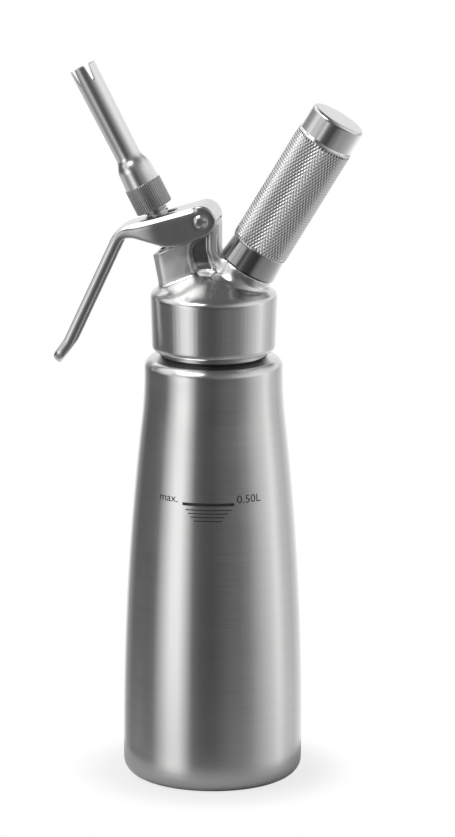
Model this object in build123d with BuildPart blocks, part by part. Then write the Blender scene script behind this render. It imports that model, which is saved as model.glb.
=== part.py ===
from build123d import *
import os
from math import cos, pi, radians, sin, sqrt, tan

os.makedirs("parts", exist_ok=True)

# A cream whipper in millimetres. The bottle stands on z = 0 round the Z axis, the nozzle and the
# lever lean to -X, and the holder of the gas bulb leans to +X.

# Clearances
running_gap = 0.3  # between pieces that move past each other
fit_gap = 0.05  # round pins, bushes and rings in their bores

# Bottle, drawn from sheet
bottle_wall = 1.0
base_radius = 38.0
base_corner = 6.5
dish_radius = 27.0
dish_height = 3.0
widest_height = 20.0
neck_radius = 29.2
neck_height = 174.5
neck_hollow = 170.0
shoulder_height = 181.5
shoulder_corner = 4.0

# Threaded ring in the bottle's mouth
mouth_radius = 20.5
ring_wall = 1.9
ring_rise = 18.5
ring_flange_width = 2.6
ring_flange_thickness = 1.5
thread_sink = 0.15
neck_thread_depth = 1.1
neck_thread_pitch = 3.5
neck_thread_turns = 2.5
neck_thread_rise = 6.0

# Head: the cap, its dome and its gasket
cap_gap = 3.0
cap_height = 24.3
cap_radius = 26.8
cap_taper = 0.8
cap_edge_round = 2.2
cap_rim_round = 2.5
dome_rise = 15.7
dome_top_radius = 5.0
gasket_thickness = 2.0
gasket_width = 5.0

# Head: the valve housing and the bush in its top
valve_drop = 4.0
valve_tilt = 27.5
housing_length = 37.2
housing_top_radius = 9.7
housing_cone = 16.0
housing_flare_start = 24.0
housing_flare_end = 17.5
housing_flare_width = 3.5
valve_bore_radius = 5.2
valve_seat = 13.0
valve_pocket_radius = 8.5
bush_seat = 28.0
bush_radius = 6.9
bush_proud = 0.7
bush_floor = 2.5
bush_wall = 0.9

# Valve
stem_radius = 4.0
stem_bore_radius = 2.5
stem_bore_floor = 14.0
port_height = 16.0
port_radius = 1.7
stud_radius = 2.5
stud_end = 6.5
poppet_bottom = 8.0
poppet_radius = 7.0
poppet_chamfer = 0.8
seal_inner_radius = 4.6
seal_outer_radius = 6.4
seal_thickness = 1.5
o_ring_height = 23.1
o_ring_section = 1.0
flange_radius = 6.8
flange_height = 5.2
flange_sphere = 14.0
stem_thread_depth = 0.7
stem_thread_pitch = 1.25
stem_thread_radius = 5.0
spring_wire = 1.0
spring_radius = 5.2
spring_turns = 6

# Nozzle
nozzle_lift = 3.8
nozzle_length = 66.5
nozzle_bore_radius = 4.5
nozzle_foot_radius = 7.95
nozzle_foot_length = 11.6
nozzle_body_radius = 7.55
nozzle_body_taper = 0.35
nozzle_body_length = 5.8
nozzle_shoulder_length = 7.5
nozzle_shoulder_split = 0.62
nozzle_tube_radius = 5.3
nozzle_tip_radius = 5.65
nozzle_engagement = 7.0
nozzle_seal_thickness = 1.4
nozzle_seal_hole = 2.6
slot_count = 5
slot_first_angle = 32.0
slot_tip_width = 2.6
slot_bottom_width = 1.3
slot_depth = 7.0

# Lever, pressed from sheet, with its pivot
pivot_x = -4.4
pivot_rise = 16.3
pin_radius = 2.0
pin_head_radius = 2.75
pin_head_height = 1.2
pin_head_edge = 0.3
screw_radius = 1.15
screw_length = 12.0
screw_socket = 1.5
screw_socket_depth = 0.8
lever_sheet = 1.4
lever_half_width = 9.75
lever_round = 6.6
lever_slope = 17.1
lever_edge_round = 2.0
web_length = 35.9
bend_radius = 12.0
handle_angle = 48.2
handle_length = 53.8
handle_depth = 4.6
flare_angle = 11.0
flare_length = 9.6
flare_radius = 8.0
tip_corner = 5.0
cheek_straight = 18.0
cheek_rise_end = 31.0
cheek_rise = 7.7
cheek_round = 8.0
cheek_handle_round = 3.0
stem_slot_half_width = 5.5
stem_slot_near = 15.4
stem_slot_far = 18.4
relief_width = 0.8

# Head: the lug that carries the lever
lug_rear = 2.8
lug_rear_corner = 3.2
lug_top_radius = 4.6
lug_front_drop = 4.8
lug_toe_reach = 9.6
lug_toe_drop = 12.8
lug_waist_radius = 5.5
lug_waist_depth = 2.2
lug_waist_shift = 1.0

# Head: the charger boss
charger_drop = 3.4
charger_tilt = 30.8
boss_radius = 12.0
boss_top = 27.7
boss_flare_width = 4.5
boss_flare_length = 6.0
boss_land = 1.2
spigot_length = 11.3
spigot_thread_radius = 10.0
spigot_thread_depth = 0.7
spigot_thread_pitch = 2.0
spigot_thread_turns = 4.0
spigot_thread_rise = 1.8
gas_passage_radius = 1.2

# Gas bulb, its holder, seal, pin and check valve
holder_gap = 0.4
holder_radius = 11.85
holder_foot_radius = 12.5
holder_length = 74.7
holder_end_wall = 2.5
holder_end_round = 0.8
collar_length = 9.9
knurl_length = 53.3
knurl_radius = 12.5
knurl_chamfer = 0.5
bulb_inset = 4.5
bulb_radius = 8.9
bulb_wall = 1.2
bulb_room = 0.5
bulb_neck_radius = 4.4
bulb_neck_length = 9.0
bulb_shoulder_length = 7.0
bulb_cap = 0.6
pierced_radius = 0.95
charger_seal_thickness = 2.4
charger_seal_hole = 2.2
pin_holder_radius = 3.45
pin_holder_length = 12.1
gas_hole_radius = 0.5
gas_hole_reach = 2.1
piercing_reach = 2.1
piercing_radius = 0.8
piercing_neck_radius = 0.6
piercing_neck_length = 4.2
piercing_cone = 1.4
piercing_root = 10.0
check_flange_radius = 3.3
check_flange = 1.2
check_bill_length = 2.4
check_bill_radius = 2.2
check_tip_radius = 1.5
check_mouth = 1.0
check_slit = 0.25

# Heights worked out from the sizes above
ring_root = mouth_radius + ring_wall
rim_height = shoulder_height + ring_rise
cap_bottom = shoulder_height + cap_gap
cap_rim = cap_bottom + cap_height
dome_top = cap_rim + dome_rise
cavity_radius = ring_root + neck_thread_depth + running_gap
gasket_bottom = rim_height + running_gap
ceiling = gasket_bottom + gasket_thickness + running_gap
pivot_z = dome_top + pivot_rise

# Valve axis: lengths along it are counted from its foot inside the neck
valve_foot = Vector(0, 0, rim_height - valve_drop)
valve_dir = Vector(-sin(radians(valve_tilt)), 0, cos(radians(valve_tilt)))
valve_side = Vector(cos(radians(valve_tilt)), 0, sin(radians(valve_tilt)))
valve_axis = Axis(valve_foot, valve_dir)
valve_section = Plane(origin=valve_foot, x_dir=valve_side, z_dir=(0, -1, 0))

# Charger axis: lengths along it are counted from its foot inside the neck
charger_foot = Vector(0, 0, rim_height - charger_drop)
charger_dir = Vector(sin(radians(charger_tilt)), 0, cos(radians(charger_tilt)))
charger_side = Vector(cos(radians(charger_tilt)), 0, -sin(radians(charger_tilt)))
charger_axis = Axis(charger_foot, charger_dir)
charger_section = Plane(origin=charger_foot, x_dir=charger_side, z_dir=(0, -1, 0))

# Lever plane: x runs along the web to the handle, y stands up from the web, the pivot is its origin
pivot = Vector(pivot_x, 0, pivot_z)
web_dir = Vector(-cos(radians(lever_slope)), 0, -sin(radians(lever_slope)))
web_up = Vector(-sin(radians(lever_slope)), 0, cos(radians(lever_slope)))
lever_plane = Plane(origin=pivot, x_dir=web_dir, z_dir=(0, 1, 0))
lug_half_width = lever_half_width - lever_sheet - running_gap

# Domed flange of the stem: the web rests on it beside the slot, a running gap away
pivot_across = (pivot - valve_foot).dot(valve_side)
pivot_along = (pivot - valve_foot).dot(valve_dir)
web_lean = radians(valve_tilt - lever_slope)
flange_reach = sqrt(flange_sphere**2 - stem_slot_half_width**2) + running_gap + fit_gap
web_inner = lever_round - lever_sheet
flange_centre = pivot_along + (web_inner + pivot_across * sin(web_lean) - flange_reach) / cos(web_lean)
flange_apex = flange_centre + flange_sphere
flange_bottom = flange_apex - flange_height
poppet_top = valve_seat - 2 * running_gap
spring_bottom = bush_seat + bush_floor
nozzle_start = flange_apex + nozzle_lift
stem_end = nozzle_start + nozzle_engagement
nozzle_seal_start = stem_end + running_gap
nozzle_ledge = nozzle_seal_start + nozzle_seal_thickness + running_gap
nozzle_tip = nozzle_start + nozzle_length

# Places along the charger axis
holder_start = boss_top + holder_gap
holder_end = holder_start + holder_length
spigot_end = boss_top + spigot_length
spigot_core = spigot_thread_radius - spigot_thread_depth
bulb_base = holder_end - holder_end_wall - running_gap
bulb_tip = spigot_end - bulb_inset
charger_seal_floor = bulb_tip - running_gap - charger_seal_thickness
neck_bore_radius = bulb_neck_radius + bulb_room
pin_holder_top = charger_seal_floor - running_gap
pin_holder_bottom = pin_holder_top - pin_holder_length
check_ledge = pin_holder_bottom - check_flange
check_tip = check_ledge - check_bill_length


def bottle_body(inset):
    """The bottle's turned shape, set in from its skin: a swelling arc that runs into a hollow one."""
    narrowing = base_radius - neck_radius
    rise = neck_height - widest_height
    swell_radius = (narrowing**2 + rise**2) / (2 * narrowing) - neck_hollow
    swell_centre = Vector(base_radius - swell_radius, widest_height)
    hollow_centre = Vector(neck_radius + neck_hollow, neck_height)
    turn = swell_centre + (hollow_centre - swell_centre).normalized() * (swell_radius - inset)
    side = base_radius - inset
    throat = neck_radius - inset
    top = shoulder_height - inset
    with BuildPart() as body:
        with BuildSketch(Plane.XZ):
            with BuildLine():
                TangentArc((0, dish_height + inset), (dish_radius, inset), tangent=(1, 0))
                Line((dish_radius, inset), (base_radius - base_corner, inset))
                TangentArc((base_radius - base_corner, inset), (side, base_corner), tangent=(1, 0))
                Line((side, base_corner), (side, widest_height))
                TangentArc((side, widest_height), turn, tangent=(0, 1))
                TangentArc((throat, neck_height), turn, tangent=(0, -1))
                Line((throat, neck_height), (throat, shoulder_height - shoulder_corner))
                shoulder_end = (neck_radius - shoulder_corner, top)
                TangentArc((throat, shoulder_height - shoulder_corner), shoulder_end, tangent=(0, 1))
                Polyline(shoulder_end, (0, top), (0, dish_height + inset))
            make_face()
        revolve(axis=Axis.Z)
    return body.part


def thread_ridge(foot, axis, core, depth, pitch, turns):
    """The helical ridge of a male thread that starts at foot and climbs along axis."""
    with BuildPart() as ridge:
        with BuildLine() as lead:
            Helix(pitch, pitch * turns, core, center=foot, direction=axis)
        start = lead.line @ 0
        outward = (start - foot).normalized()
        root_half = 0.36 * pitch
        crest_half = 0.12 * pitch
        with BuildSketch(Plane(origin=start, x_dir=outward, z_dir=lead.line % 0)):
            with BuildLine():
                Polyline(
                    (-thread_sink, -root_half),
                    (depth, -crest_half),
                    (depth, crest_half),
                    (-thread_sink, root_half),
                    close=True,
                )
            make_face()
        sweep(path=lead.line, is_frenet=True)
    return ridge.part


def lever_line(inset):
    """Corner, flare and tip of the lever's back, set in from its outer face, in the lever plane."""
    bend = radians(handle_angle)
    opening = radians(flare_angle)
    handle = Vector(cos(bend), -sin(bend))
    handle_in = Vector(-sin(bend), -cos(bend))
    flare = Vector(cos(bend - opening), -sin(bend - opening))
    flare_in = Vector(-sin(bend - opening), -cos(bend - opening))
    corner = Vector(web_length - inset * tan(bend / 2), lever_round - inset)
    flare_start = Vector(web_length, lever_round) + handle * handle_length
    flare_in_start = flare_start + (handle_in + handle * tan(opening / 2)) * inset
    tip = flare_start + flare * flare_length + flare_in * inset
    return corner, flare_in_start, tip, handle, flare, flare_in


def lever_blank(inset, half_width, edge_round):
    """The lever's pressed form as a solid block whose back has rounded edges."""
    corner, flare_start, tip, handle, flare, flare_in = lever_line(inset)
    tip = tip - flare * inset
    heel = tip + flare_in * (tip_corner + 3 * handle_depth)
    back = lever_round - inset
    with BuildPart() as blank:
        with BuildSketch(lever_plane) as outline:
            with BuildLine():
                Polyline((0, back), corner, flare_start, tip, heel, (0, heel.Y), close=True)
            make_face()
            fillet(outline.vertices().sort_by_distance(corner)[0], bend_radius - inset)
            fillet(outline.vertices().sort_by_distance(flare_start)[0], flare_radius + inset)
        extrude(amount=half_width, both=True)
        tip_side = (tip + heel) * 0.5
        web_middle = Vector(web_length / 2, back)
        sides = [Vector(0, 0, half_width), Vector(0, 0, -half_width)]
        tip_edges = []
        for side in sides:
            point = lever_plane.from_local_coords(tip_side + side)
            tip_edges.append(blank.edges().sort_by_distance(point)[0])
        fillet(tip_edges, tip_corner - inset)
        back_edges = []
        for side in sides:
            point = lever_plane.from_local_coords(web_middle + side)
            back_edges.append(blank.edges().sort_by_distance(point)[0])
        fillet(back_edges, edge_round)
    return blank.part


# Bottle: drawn steel, with a dished base that stands on a flat ring
with BuildPart() as bottle:
    add(bottle_body(0))
    add(bottle_body(bottle_wall), mode=Mode.SUBTRACT)
    with BuildSketch(Plane.XY.offset(shoulder_height - 2 * bottle_wall)):
        Circle(ring_root + fit_gap)
    extrude(amount=3 * bottle_wall, mode=Mode.SUBTRACT)
bottle.part.label = "bottle"
export_step(bottle.part, "parts/bottle.step")

# Neck ring: turned steel with the thread for the head, welded under the bottle's shoulder
with BuildPart() as neck_ring:
    flange_top = shoulder_height - bottle_wall
    with BuildSketch(Plane.XZ):
        with BuildLine():
            Polyline(
                (mouth_radius, flange_top - ring_flange_thickness),
                (ring_root + ring_flange_width, flange_top - ring_flange_thickness),
                (ring_root + ring_flange_width, flange_top),
                (ring_root, flange_top),
                (ring_root, rim_height),
                (mouth_radius, rim_height),
                close=True,
            )
        make_face()
    revolve(axis=Axis.Z)
    thread_foot = Vector(0, 0, shoulder_height + neck_thread_rise)
    add(
        thread_ridge(
            thread_foot, (0, 0, 1), ring_root, neck_thread_depth, neck_thread_pitch, neck_thread_turns
        )
    )
neck_ring.part.label = "neck_ring"
export_step(neck_ring.part, "parts/neck_ring.step")

# Lug of the head: carries the lever's pivot, with a shoulder behind it where the lever rests
with BuildPart() as lug:
    lug_shoulder = pivot_z - running_gap - fit_gap
    arc_rear = pivot_x + sqrt(lug_top_radius**2 - (pivot_z - lug_shoulder) ** 2)
    front = pivot_x - lug_top_radius
    toe = (pivot_x - lug_toe_reach, pivot_z - lug_toe_drop)
    with BuildSketch(Plane.XZ):
        with BuildLine():
            Polyline((lug_rear, ceiling), (lug_rear, lug_shoulder), (arc_rear, lug_shoulder))
            ThreePointArc((arc_rear, lug_shoulder), (pivot_x, pivot_z + lug_top_radius), (front, pivot_z))
            Polyline(
                (front, pivot_z),
                (front, pivot_z - lug_front_drop),
                toe,
                (toe[0], ceiling),
                (lug_rear, ceiling),
            )
        make_face()
    extrude(amount=lug_half_width, both=True)
    rear_face = lug.faces().filter_by(Axis.X).sort_by(Axis.X)[-1]
    fillet(rear_face.edges().filter_by(Axis.Z), lug_rear_corner)

# Head: cast steel in one piece with the cap, the dome, the valve housing, the lug and the charger boss
with BuildPart() as head:
    housing_side = tan(radians(housing_cone))
    flare_radius_start = housing_top_radius + (housing_length - housing_flare_start) * housing_side
    with BuildSketch(valve_section):
        with BuildLine():
            Polyline(
                (0, valve_seat / 2),
                (flare_radius_start, valve_seat / 2),
                (flare_radius_start + housing_flare_width, housing_flare_end),
                (flare_radius_start, housing_flare_start),
                (housing_top_radius, housing_length),
                (0, housing_length),
                close=True,
            )
        make_face()
    revolve(axis=valve_axis)
    with BuildSketch(Plane.XZ):
        with BuildLine():
            reach = housing_length + cap_radius
            Polyline(
                (-reach, ceiling),
                (reach, ceiling),
                (reach, pivot_z + reach),
                (-reach, pivot_z + reach),
                close=True,
            )
        make_face()
    extrude(amount=lug_half_width, both=True, mode=Mode.INTERSECT)
    add(lug.part)
    waist_reach = lug_half_width + lug_waist_radius - lug_waist_depth
    with BuildSketch(Plane.XY.offset(ceiling)):
        with Locations((pivot_x - lug_waist_shift, waist_reach), (pivot_x - lug_waist_shift, -waist_reach)):
            Circle(lug_waist_radius)
    extrude(amount=pivot_z - lug_top_radius - ceiling, mode=Mode.SUBTRACT)
    with BuildSketch(Plane.XZ) as cap_outline:
        with BuildLine():
            Polyline(
                (0, cap_bottom),
                (cap_radius - cap_taper, cap_bottom),
                (cap_radius, cap_rim),
                (dome_top_radius, dome_top),
                (0, dome_top),
                close=True,
            )
        make_face()
        cap_edge = cap_outline.vertices().sort_by_distance((cap_radius - cap_taper, cap_bottom))[0]
        fillet(cap_edge, cap_edge_round)
        cap_rim_edge = cap_outline.vertices().sort_by_distance((cap_radius, cap_rim))[0]
        fillet(cap_rim_edge, cap_rim_round)
    revolve(axis=Axis.Z)
    with BuildSketch(charger_section):
        with BuildLine():
            flare_top = (boss_radius, boss_top - boss_land)
            flare_foot = (boss_radius + boss_flare_width, boss_top - boss_land - boss_flare_length)
            boss_root = flare_foot[1] - boss_flare_length / 2
            TangentArc(flare_top, flare_foot, tangent=(0, -1))
            Polyline(
                flare_foot,
                (flare_foot[0], boss_root),
                (0, boss_root),
                (0, spigot_end),
                (spigot_core, spigot_end),
                (spigot_core, boss_top),
                (boss_radius, boss_top),
                flare_top,
            )
        make_face()
    revolve(axis=charger_axis)
    add(
        thread_ridge(
            charger_foot + charger_dir * (boss_top + spigot_thread_rise),
            charger_dir,
            spigot_core,
            spigot_thread_depth,
            spigot_thread_pitch,
            spigot_thread_turns,
        )
    )
    with BuildSketch(Plane.XY.offset(cap_bottom - cap_gap)):
        Circle(cavity_radius)
    extrude(amount=ceiling - cap_bottom + cap_gap, mode=Mode.SUBTRACT)
    with BuildSketch(valve_section):
        with BuildLine():
            Polyline(
                (0, valve_seat / 2 - valve_pocket_radius),
                (valve_pocket_radius, valve_seat / 2 - valve_pocket_radius),
                (valve_pocket_radius, valve_seat),
                (valve_bore_radius, valve_seat),
                (valve_bore_radius, bush_seat),
                (bush_radius + fit_gap, bush_seat),
                (bush_radius + fit_gap, flange_apex),
                (0, flange_apex),
                close=True,
            )
        make_face()
    revolve(axis=valve_axis, mode=Mode.SUBTRACT)
    with BuildSketch(charger_section):
        with BuildLine():
            Polyline(
                (0, gas_passage_radius),
                (gas_passage_radius, gas_passage_radius),
                (gas_passage_radius, check_tip - running_gap),
                (check_bill_radius + running_gap, check_tip - running_gap),
                (check_bill_radius + running_gap, check_ledge),
                (pin_holder_radius + fit_gap, check_ledge),
                (pin_holder_radius + fit_gap, charger_seal_floor),
                (neck_bore_radius, charger_seal_floor),
                (neck_bore_radius, spigot_end + bulb_room),
                (0, spigot_end + bulb_room),
                close=True,
            )
        make_face()
    revolve(axis=charger_axis, mode=Mode.SUBTRACT)
    with BuildSketch(lever_plane):
        Circle(pin_radius + fit_gap)
    extrude(amount=lever_half_width, both=True, mode=Mode.SUBTRACT)
head.part.label = "head"
export_step(head.part, "parts/head.step")

# Head gasket: flat silicone ring between the bottle's rim and the head
with BuildPart() as head_gasket:
    gasket_radius = cavity_radius - running_gap
    with BuildSketch(Plane.XY.offset(gasket_bottom)):
        Circle(gasket_radius)
        Circle(gasket_radius - gasket_width, mode=Mode.SUBTRACT)
    extrude(amount=gasket_thickness)
head_gasket.part.label = "head_gasket"
export_step(head_gasket.part, "parts/head_gasket.step")

# Guide bush: screwed into the top of the valve housing, guides the stem and holds the spring's foot
with BuildPart() as guide_bush:
    with BuildSketch(valve_section):
        with BuildLine():
            Polyline(
                (stem_radius + fit_gap, bush_seat),
                (bush_radius, bush_seat),
                (bush_radius, housing_length + bush_proud),
                (bush_radius - bush_wall, housing_length + bush_proud),
                (bush_radius - bush_wall, spring_bottom),
                (stem_radius + fit_gap, spring_bottom),
                close=True,
            )
        make_face()
    revolve(axis=valve_axis)
guide_bush.part.label = "guide_bush"
export_step(guide_bush.part, "parts/guide_bush.step")

# Valve stem: hollow steel, with cross ports, a domed flange under the lever and the nozzle's thread
with BuildPart() as valve_stem:
    stem_core = stem_thread_radius - stem_thread_depth
    groove_bottom = stem_radius - o_ring_section + 2 * fit_gap
    groove_half = o_ring_section + 2 * fit_gap
    dome_middle = (flange_radius + stem_core) / 2
    dome_points = []
    for radius in (flange_radius, dome_middle, stem_core):
        dome_points.append((radius, flange_centre + sqrt(flange_sphere**2 - radius**2)))
    with BuildSketch(valve_section):
        with BuildLine():
            Polyline(
                (stem_core, dome_points[2][1]),
                (stem_core, stem_end),
                (stem_bore_radius, stem_end),
                (stem_bore_radius, stem_bore_floor),
                (0, stem_bore_floor),
                (0, stud_end),
                (stud_radius, stud_end),
                (stud_radius, poppet_top),
                (stem_radius, poppet_top),
                (stem_radius, o_ring_height - groove_half),
                (groove_bottom, o_ring_height - groove_half),
                (groove_bottom, o_ring_height + groove_half),
                (stem_radius, o_ring_height + groove_half),
                (stem_radius, flange_bottom),
                (flange_radius, flange_bottom),
                dome_points[0],
            )
            ThreePointArc(*dome_points)
        make_face()
    revolve(axis=valve_axis)
    port_plane = Plane(origin=valve_foot + valve_dir * port_height, x_dir=valve_side, z_dir=(0, 1, 0))
    with BuildSketch(port_plane):
        Circle(port_radius)
    extrude(amount=2 * stem_radius, both=True, mode=Mode.SUBTRACT)
    thread_start = flange_apex + stem_thread_pitch
    thread_turns = (stem_end - thread_start) / stem_thread_pitch - 1
    add(
        thread_ridge(
            valve_foot + valve_dir * thread_start,
            valve_dir,
            stem_core,
            stem_thread_depth,
            stem_thread_pitch,
            thread_turns,
        )
    )
valve_stem.part.label = "valve_stem"
export_step(valve_stem.part, "parts/valve_stem.step")

# Valve poppet: steel disc screwed on the stem's stud, grooved for its seal
with BuildPart() as valve_poppet:
    groove_floor = valve_seat - running_gap - seal_thickness
    with BuildSketch(valve_section):
        with BuildLine():
            Polyline(
                (stud_radius + fit_gap, poppet_bottom),
                (poppet_radius - poppet_chamfer, poppet_bottom),
                (poppet_radius, poppet_bottom + poppet_chamfer),
                (poppet_radius, poppet_top),
                (seal_outer_radius + fit_gap, poppet_top),
                (seal_outer_radius + fit_gap, groove_floor),
                (seal_inner_radius - fit_gap, groove_floor),
                (seal_inner_radius - fit_gap, poppet_top),
                (stud_radius + fit_gap, poppet_top),
                close=True,
            )
        make_face()
    revolve(axis=valve_axis)
valve_poppet.part.label = "valve_poppet"
export_step(valve_poppet.part, "parts/valve_poppet.step")

# Valve seal: silicone ring in the poppet's groove, closes on the seat in the head
with BuildPart() as valve_seal:
    seal_plane = Plane(origin=valve_foot + valve_dir * groove_floor, x_dir=valve_side, z_dir=valve_dir)
    with BuildSketch(seal_plane):
        Circle(seal_outer_radius)
        Circle(seal_inner_radius, mode=Mode.SUBTRACT)
    extrude(amount=seal_thickness)
valve_seal.part.label = "valve_seal"
export_step(valve_seal.part, "parts/valve_seal.step")

# Stem O-ring: in the stem's groove, seals it in the housing's bore
with BuildPart() as stem_o_ring:
    with BuildSketch(valve_section):
        with BuildLine():
            o_ring_radius = valve_bore_radius - fit_gap - o_ring_section
            CenterArc((o_ring_radius, o_ring_height), o_ring_section, 0, 360)
        make_face()
    revolve(axis=valve_axis)
stem_o_ring.part.label = "stem_o_ring"
export_step(stem_o_ring.part, "parts/stem_o_ring.step")

# Valve spring: one helix of wire between the bush's floor and the stem's flange
with BuildPart() as valve_spring:
    coil_bottom = spring_bottom + spring_wire / 2 + fit_gap
    coil_top = flange_bottom - spring_wire / 2 - fit_gap
    quarters = 4 * spring_turns
    coil_points = []
    coil_tangents = []
    for quarter in range(quarters + 1):
        angle = quarter * pi / 2
        outward = valve_side * cos(angle) + Vector(0, 1, 0) * sin(angle)
        around = Vector(0, 1, 0) * cos(angle) - valve_side * sin(angle)
        height = coil_bottom + (coil_top - coil_bottom) * quarter / quarters
        climb = (coil_top - coil_bottom) / (2 * pi * spring_turns)
        coil_points.append(valve_foot + valve_dir * height + outward * spring_radius)
        coil_tangents.append((around * spring_radius + valve_dir * climb).normalized())
    with BuildLine() as coil:
        for quarter in range(quarters):
            chord = coil_points[quarter + 1] - coil_points[quarter]
            leaving, arriving = coil_tangents[quarter], coil_tangents[quarter + 1]
            spread = 2 * (1 - leaving.dot(arriving))
            along = chord.dot(leaving + arriving)
            reach = (sqrt(along**2 + spread * chord.dot(chord)) - along) / spread
            middle = (coil_points[quarter] + coil_points[quarter + 1] + (leaving - arriving) * reach) * 0.5
            TangentArc(coil_points[quarter], middle, tangent=leaving)
            TangentArc(coil_points[quarter + 1], middle, tangent=arriving * -1)
    with BuildSketch(Plane(origin=coil_points[0], z_dir=coil_tangents[0])):
        Circle(spring_wire / 2)
    sweep(path=coil.line)
    least_gap = min(
        (coil_points[first] - coil_points[second]).length
        for first in range(quarters + 1)
        for second in range(first + 2, quarters + 1)
    ) - spring_wire
    print("valve_spring least gap to itself:", round(least_gap, 2))
valve_spring.part.label = "valve_spring"
export_step(valve_spring.part, "parts/valve_spring.step")

# Nozzle seal: washer between the nozzle and the end of the stem
with BuildPart() as nozzle_seal:
    washer_origin = valve_foot + valve_dir * nozzle_seal_start
    with BuildSketch(Plane(origin=washer_origin, x_dir=valve_side, z_dir=valve_dir)):
        Circle(stem_thread_radius)
        Circle(nozzle_seal_hole, mode=Mode.SUBTRACT)
    extrude(amount=nozzle_seal_thickness)
nozzle_seal.part.label = "nozzle_seal"
export_step(nozzle_seal.part, "parts/nozzle_seal.step")

# Decorating nozzle: turned steel, threaded in its foot and slotted at its tip
with BuildPart() as nozzle:
    foot_end = nozzle_start + nozzle_foot_length
    body_end = foot_end + nozzle_body_length
    body_top_radius = nozzle_body_radius - nozzle_body_taper
    tube_start = body_end + nozzle_shoulder_length
    shoulder_foot = Vector(body_top_radius, body_end)
    shoulder_top = Vector(nozzle_tube_radius, tube_start)
    shoulder_middle = shoulder_foot + (shoulder_top - shoulder_foot) * nozzle_shoulder_split
    thread_room = stem_thread_radius + running_gap
    with BuildSketch(valve_section):
        with BuildLine():
            Polyline(
                (nozzle_tube_radius, tube_start),
                (nozzle_tip_radius, nozzle_tip),
                (nozzle_bore_radius, nozzle_tip),
                (nozzle_bore_radius, nozzle_ledge),
                (thread_room, nozzle_ledge),
                (thread_room, nozzle_start),
                (nozzle_foot_radius, nozzle_start),
                (nozzle_foot_radius, foot_end),
                (nozzle_body_radius, foot_end),
                (body_top_radius, body_end),
            )
            TangentArc(shoulder_foot, shoulder_middle, tangent=(0, 1))
            TangentArc(shoulder_top, shoulder_middle, tangent=(0, -1))
        make_face()
    revolve(axis=valve_axis)
    for slot in range(slot_count):
        angle = radians(slot_first_angle + 360 * slot / slot_count)
        outward = valve_side * sin(angle) + Vector(0, -1, 0) * cos(angle)
        across = valve_side * cos(angle) + Vector(0, 1, 0) * sin(angle)
        tip_centre = valve_foot + valve_dir * nozzle_tip
        with BuildSketch(Plane(origin=tip_centre, x_dir=across, z_dir=outward)):
            with BuildLine():
                bottom = slot_bottom_width / 2
                Polyline(
                    (-bottom, bottom - slot_depth),
                    (-slot_tip_width / 2, bottom),
                    (slot_tip_width / 2, bottom),
                    (bottom, bottom - slot_depth),
                )
                ThreePointArc((bottom, bottom - slot_depth), (0, -slot_depth), (-bottom, bottom - slot_depth))
            make_face()
        extrude(amount=2 * nozzle_tip_radius, mode=Mode.SUBTRACT)
nozzle.part.label = "nozzle"
export_step(nozzle.part, "parts/nozzle.step")

# Lever: channel pressed from steel sheet, with a tongue that wraps the lug and a slot for the stem
with BuildPart() as lever:
    inner_half_width = lever_half_width - lever_sheet
    add(lever_blank(0, lever_half_width, lever_edge_round))
    add(lever_blank(lever_sheet, inner_half_width, lever_edge_round - lever_sheet), mode=Mode.SUBTRACT)
    corner, flare_start, tip, handle, flare, flare_in = lever_line(handle_depth)
    cheek_low = -lever_round
    cheek_high = cheek_low + cheek_rise
    cheek_end = corner + handle * ((corner.Y - cheek_high) / -handle.Y)
    tip_out = tip + flare * flare_length
    with BuildSketch(lever_plane) as side_view:
        with BuildLine():
            Polyline(
                (0, cheek_low),
                (cheek_straight, cheek_low),
                (cheek_rise_end, cheek_high),
                cheek_end,
                flare_start,
                tip_out,
                (tip_out.X + bend_radius, tip_out.Y),
                (tip_out.X + bend_radius, lever_round + bend_radius),
                (0, lever_round + bend_radius),
                close=True,
            )
        make_face()
        rounds = (
            ((cheek_straight, cheek_low), cheek_round),
            ((cheek_rise_end, cheek_high), cheek_round),
            (cheek_end, cheek_handle_round),
            (flare_start, flare_radius),
        )
        for place, radius in rounds:
            fillet(side_view.vertices().sort_by_distance(place)[0], radius)
    extrude(amount=2 * lever_half_width, both=True, mode=Mode.INTERSECT)
    for start in (inner_half_width, -lever_half_width):
        with BuildSketch(lever_plane.offset(start)):
            with BuildLine():
                ThreePointArc((0, lever_round), (-lever_round, 0), (0, -lever_round))
                Line((0, -lever_round), (0, lever_round))
            make_face()
        extrude(amount=lever_sheet)
    with BuildSketch(lever_plane):
        with BuildLine():
            wrap = 90 + lever_slope
            outer_wrap = CenterArc((0, 0), lever_round, 90, wrap)
            inner_wrap = CenterArc((0, 0), web_inner, 90, wrap)
            Line(outer_wrap @ 0, inner_wrap @ 0)
            Line(outer_wrap @ 1, inner_wrap @ 1)
        make_face()
    extrude(amount=inner_half_width, both=True)
    with BuildSketch(lever_plane):
        Circle(pin_radius + fit_gap)
    extrude(amount=2 * lever_half_width, both=True, mode=Mode.SUBTRACT)
    with BuildSketch(Plane(origin=pivot + web_up * web_inner, x_dir=web_dir, z_dir=web_up)):
        with BuildLine():
            half = stem_slot_half_width
            near_arc = CenterArc((stem_slot_near, 0), half, 90, 180)
            far_arc = CenterArc((stem_slot_far, 0), half, -90, 180)
            Line(near_arc @ 0, far_arc @ 1)
            Line(near_arc @ 1, far_arc @ 0)
        make_face()
    extrude(amount=lever_sheet, both=True, mode=Mode.SUBTRACT)
    for start in (inner_half_width - relief_width / 2, -lever_half_width - relief_width / 2):
        with BuildSketch(lever_plane.offset(start)):
            with BuildLine():
                Polyline(
                    (-relief_width / 2, web_inner),
                    (relief_width / 2, web_inner),
                    (relief_width / 2, lever_round + relief_width),
                    (-relief_width / 2, lever_round + relief_width),
                    close=True,
                )
            make_face()
        extrude(amount=lever_sheet + relief_width, mode=Mode.SUBTRACT)
lever.part.label = "lever"
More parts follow.
